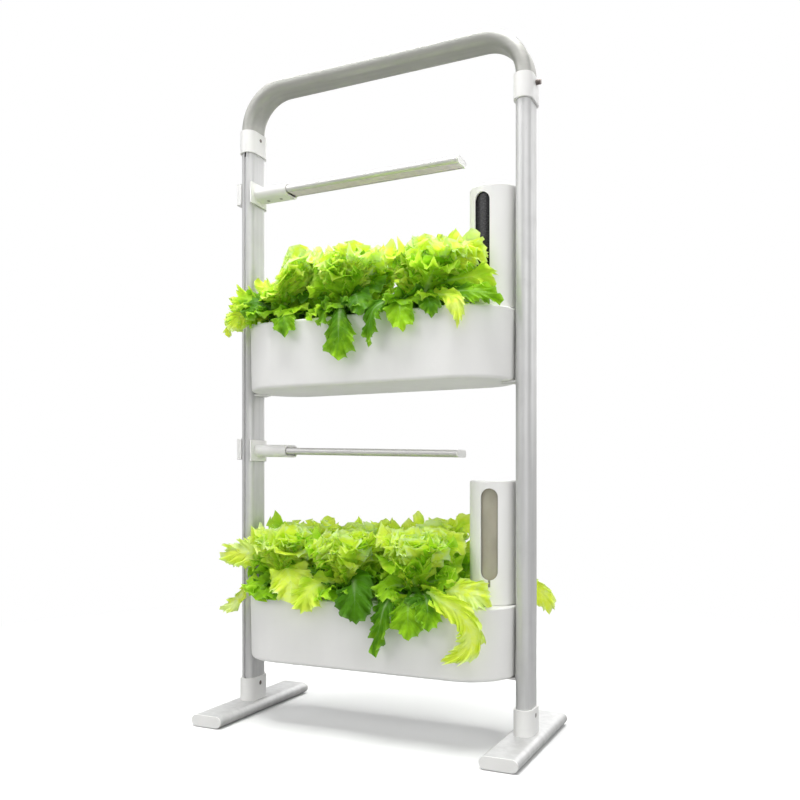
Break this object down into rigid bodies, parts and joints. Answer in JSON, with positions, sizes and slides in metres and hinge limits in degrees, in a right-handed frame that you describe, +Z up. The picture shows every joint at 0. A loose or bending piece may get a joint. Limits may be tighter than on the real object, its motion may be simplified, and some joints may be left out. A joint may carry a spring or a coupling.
{
  "type": "two-tier hydroponic garden",
  "caption": "Tubular stand with stacked long planters of curly lettuce, each with a cylindrical water tower and a slim grow-light bar that slides on the post.",
  "frame": {"origin": "on the floor, midway between the axes of the two posts", "axes": "+X from the left post towards the right post, +Y from the garden's front to its back, +Z up"},
  "size_m": [0.5616, 0.2705, 1.098],
  "materials": {
    "anodised_tube": "satin anodised, faint lengthwise streaks",
    "rail_alloy": "matt silver grey",
    "lamp_alloy": "satin anodised",
    "white_plastic": "satin white",
    "black_plastic": "matt black",
    "grip_rubber": "matt dark grey",
    "screw_steel": "plain",
    "screw_dark": "blackened",
    "strip_grey": "satin light grey",
    "bracket_steel": "satin white powder coat",
    "tank_dark": "glossy",
    "tank_light": "glossy",
    "board": "matt white",
    "diffuser": "frosted grey green",
    "leaves": "soft, slightly glossy leaf green"
  },
  "bodies": {
    "stand": {"left_post": "anodised_tube", "right_post": "anodised_tube", "groove_strip": "strip_grey", "top_rail": "rail_alloy", "left_collar": "white_plastic", "right_collar": "white_plastic", "left_socket": "white_plastic", "right_socket": "white_plastic", "left_foot": "anodised_tube", "right_foot": "anodised_tube", "foot_end_caps": "white_plastic", "foot_pads": "grip_rubber", "foot_bolts": "screw_steel", "frame_screws": "screw_dark", "power_inlet": "black_plastic", "bracket_screws": "screw_steel", "lower_brackets": "bracket_steel", "upper_brackets": "bracket_steel"},
    "collar_thumb_screw": {"thumb_screw": "screw_dark"},
    "lower_bed": {"lower_planter": "white_plastic", "lower_deck": "white_plastic", "lower_net_cups": "black_plastic", "lower_tank_seat": "white_plastic"},
    "lower_bottle": {"lower_tank": "tank_light", "lower_tank_cap": "white_plastic"},
    "lower_cover": {"lower_sleeve": "white_plastic"},
    "lower_lamp": {"lower_lamp_bracket": "white_plastic", "lower_lamp_clamp": "white_plastic", "lower_lamp_bar": "lamp_alloy", "lower_led_board": "board", "lower_lamp_diffuser": "diffuser", "lower_lamp_end_cap": "white_plastic", "lower_lamp_screws": "screw_dark"},
    "lower_plant_1": {"lower_lettuce_1": "leaves"},
    "lower_plant_2": {"lower_lettuce_2": "leaves"},
    "lower_plant_3": {"lower_lettuce_3": "leaves"},
    "lower_plant_4": {"lower_lettuce_4": "leaves"},
    "lower_plant_5": {"lower_lettuce_5": "leaves"},
    "lower_plant_6": {"lower_lettuce_6": "leaves"},
    "upper_bed": {"upper_planter": "white_plastic", "upper_deck": "white_plastic", "upper_net_cups": "black_plastic", "upper_tank_seat": "white_plastic"},
    "upper_bottle": {"upper_tank": "tank_dark", "upper_tank_cap": "white_plastic"},
    "upper_cover": {"upper_sleeve": "white_plastic"},
    "upper_lamp": {"upper_lamp_bracket": "white_plastic", "upper_lamp_clamp": "white_plastic", "upper_lamp_bar": "lamp_alloy", "upper_led_board": "board", "upper_lamp_diffuser": "diffuser", "upper_lamp_end_cap": "white_plastic", "upper_lamp_screws": "screw_dark"},
    "upper_plant_1": {"upper_lettuce_1": "leaves"},
    "upper_plant_2": {"upper_lettuce_2": "leaves"},
    "upper_plant_3": {"upper_lettuce_3": "leaves"},
    "upper_plant_4": {"upper_lettuce_4": "leaves"},
    "upper_plant_5": {"upper_lettuce_5": "leaves"},
    "upper_plant_6": {"upper_lettuce_6": "leaves"}
  },
  "joints": [
    {"name": "thumb_screw_turn", "type": "hinge", "parent": "stand", "child": "collar_thumb_screw", "pos_m": [0.262, 0, 1.0066], "axis": [1, 0, 0], "continuous": true},
    {"name": "lower_lamp_slide", "type": "slide", "parent": "stand", "child": "lower_lamp", "axis": [0, 0, 1], "range_m": [-0.08, 0.07]},
    {"name": "lower_bed_lift", "type": "slide", "parent": "stand", "child": "lower_bed", "axis": [0, 0, 1], "range_m": [0, 0.04]},
    {"name": "lower_bottle_lift", "type": "slide", "parent": "lower_bed", "child": "lower_bottle", "axis": [0, 0, 1], "range_m": [0, 0.04]},
    {"name": "lower_cover_turn", "type": "hinge", "parent": "lower_bottle", "child": "lower_cover", "pos_m": [0.1965, 0.005, 0.3085], "axis": [0, 0, 1], "continuous": true},
    {"name": "lower_plant_1_lift", "type": "slide", "parent": "lower_bed", "child": "lower_plant_1", "axis": [0, 0, 1], "range_m": [0, 0.055]},
    {"name": "lower_plant_2_lift", "type": "slide", "parent": "lower_bed", "child": "lower_plant_2", "axis": [0, 0, 1], "range_m": [0, 0.055]},
    {"name": "lower_plant_3_lift", "type": "slide", "parent": "lower_bed", "child": "lower_plant_3", "axis": [0, 0, 1], "range_m": [0, 0.055]},
    {"name": "lower_plant_4_lift", "type": "slide", "parent": "lower_bed", "child": "lower_plant_4", "axis": [0, 0, 1], "range_m": [0, 0.055]},
    {"name": "lower_plant_5_lift", "type": "slide", "parent": "lower_bed", "child": "lower_plant_5", "axis": [0, 0, 1], "range_m": [0, 0.055]},
    {"name": "lower_plant_6_lift", "type": "slide", "parent": "lower_bed", "child": "lower_plant_6", "axis": [0, 0, 1], "range_m": [0, 0.055]},
    {"name": "upper_lamp_slide", "type": "slide", "parent": "stand", "child": "upper_lamp", "axis": [0, 0, 1], "range_m": [-0.07, 0.048]},
    {"name": "upper_bed_lift", "type": "slide", "parent": "stand", "child": "upper_bed", "axis": [0, 0, 1], "range_m": [0, 0.04]},
    {"name": "upper_bottle_lift", "type": "slide", "parent": "upper_bed", "child": "upper_bottle", "axis": [0, 0, 1], "range_m": [0, 0.04]},
    {"name": "upper_cover_turn", "type": "hinge", "parent": "upper_bottle", "child": "upper_cover", "pos_m": [0.1965, 0.005, 0.7598], "axis": [0, 0, 1], "continuous": true},
    {"name": "upper_plant_1_lift", "type": "slide", "parent": "upper_bed", "child": "upper_plant_1", "axis": [0, 0, 1], "range_m": [0, 0.055]},
    {"name": "upper_plant_2_lift", "type": "slide", "parent": "upper_bed", "child": "upper_plant_2", "axis": [0, 0, 1], "range_m": [0, 0.055]},
    {"name": "upper_plant_3_lift", "type": "slide", "parent": "upper_bed", "child": "upper_plant_3", "axis": [0, 0, 1], "range_m": [0, 0.055]},
    {"name": "upper_plant_4_lift", "type": "slide", "parent": "upper_bed", "child": "upper_plant_4", "axis": [0, 0, 1], "range_m": [0, 0.055]},
    {"name": "upper_plant_5_lift", "type": "slide", "parent": "upper_bed", "child": "upper_plant_5", "axis": [0, 0, 1], "range_m": [0, 0.055]},
    {"name": "upper_plant_6_lift", "type": "slide", "parent": "upper_bed", "child": "upper_plant_6", "axis": [0, 0, 1], "range_m": [0, 0.055]}
  ]
}
